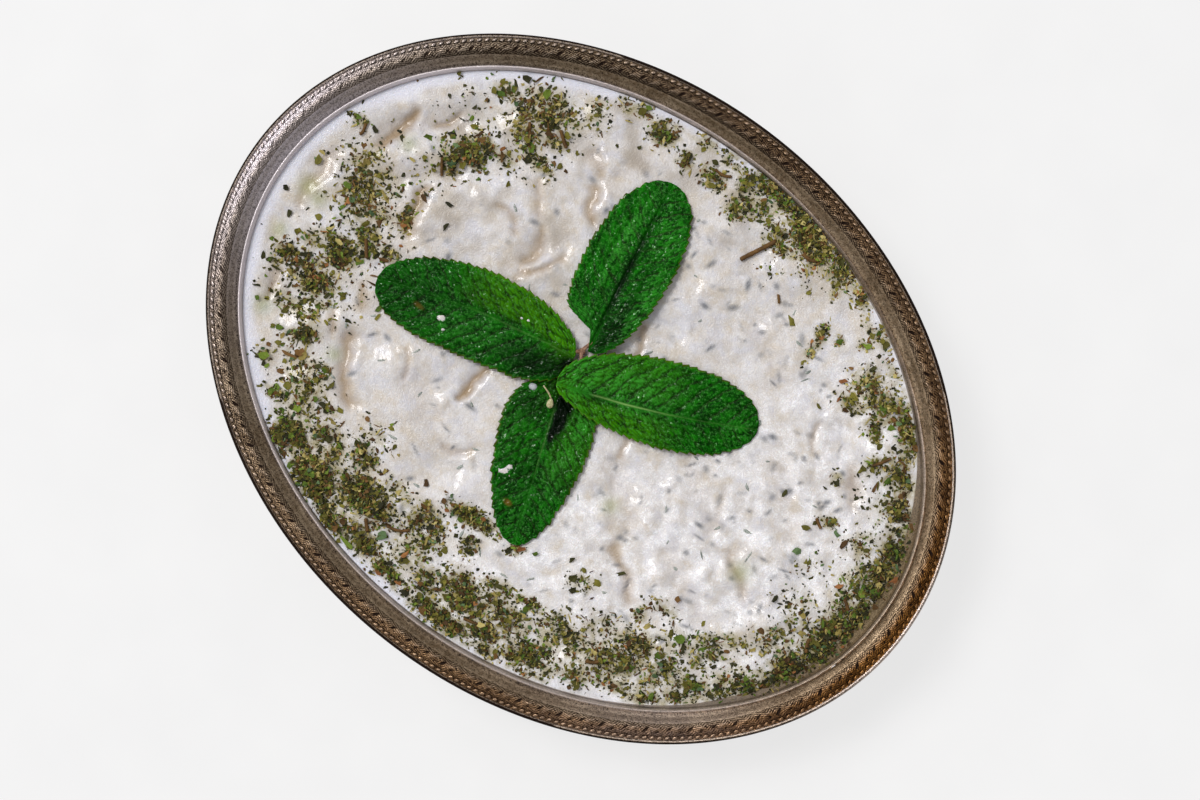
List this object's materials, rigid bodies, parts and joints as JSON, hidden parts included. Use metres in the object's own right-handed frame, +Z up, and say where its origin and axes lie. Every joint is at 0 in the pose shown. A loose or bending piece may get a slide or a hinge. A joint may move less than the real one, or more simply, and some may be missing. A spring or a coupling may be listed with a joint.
{
  "type": "tzatziki dip in an oval dish",
  "caption": "Shallow oval metal dish with a beaded, engraved rim, filled with white cucumber yoghurt dip, ringed with dried mint and topped with a sprig of mint leaves.",
  "frame": {"origin": "centre of the dish's flat foot, on the surface it stands on", "axes": "+X along the dish's long axis towards its right lower end as seen from above, +Y across the dish, +Z up out of the dip"},
  "size_m": [0.22, 0.1722, 0.033],
  "materials": {
    "dish_metal": "antique nickel plate, engraved and beaded rim, dark in the grooves",
    "yoghurt": "wet white yoghurt dip with soft folds",
    "mint_leaf": "quilted green mint leaf with a slight sheen",
    "mint_stem": "pinkish brown plant stem",
    "mint_bud": "pale cream-green bud",
    "dried_mint": "crumbled dried mint, olive green to brown",
    "cucumber": "grated cucumber with dark green skin"
  },
  "bodies": {
    "root": {"dish": "dish_metal", "dip": "yoghurt", "leaf_left": "mint_leaf", "leaf_upper": "mint_leaf", "leaf_right": "mint_leaf", "leaf_lower": "mint_leaf", "stem": "mint_stem", "bud": "mint_bud"}
  },
  "joints": []
}
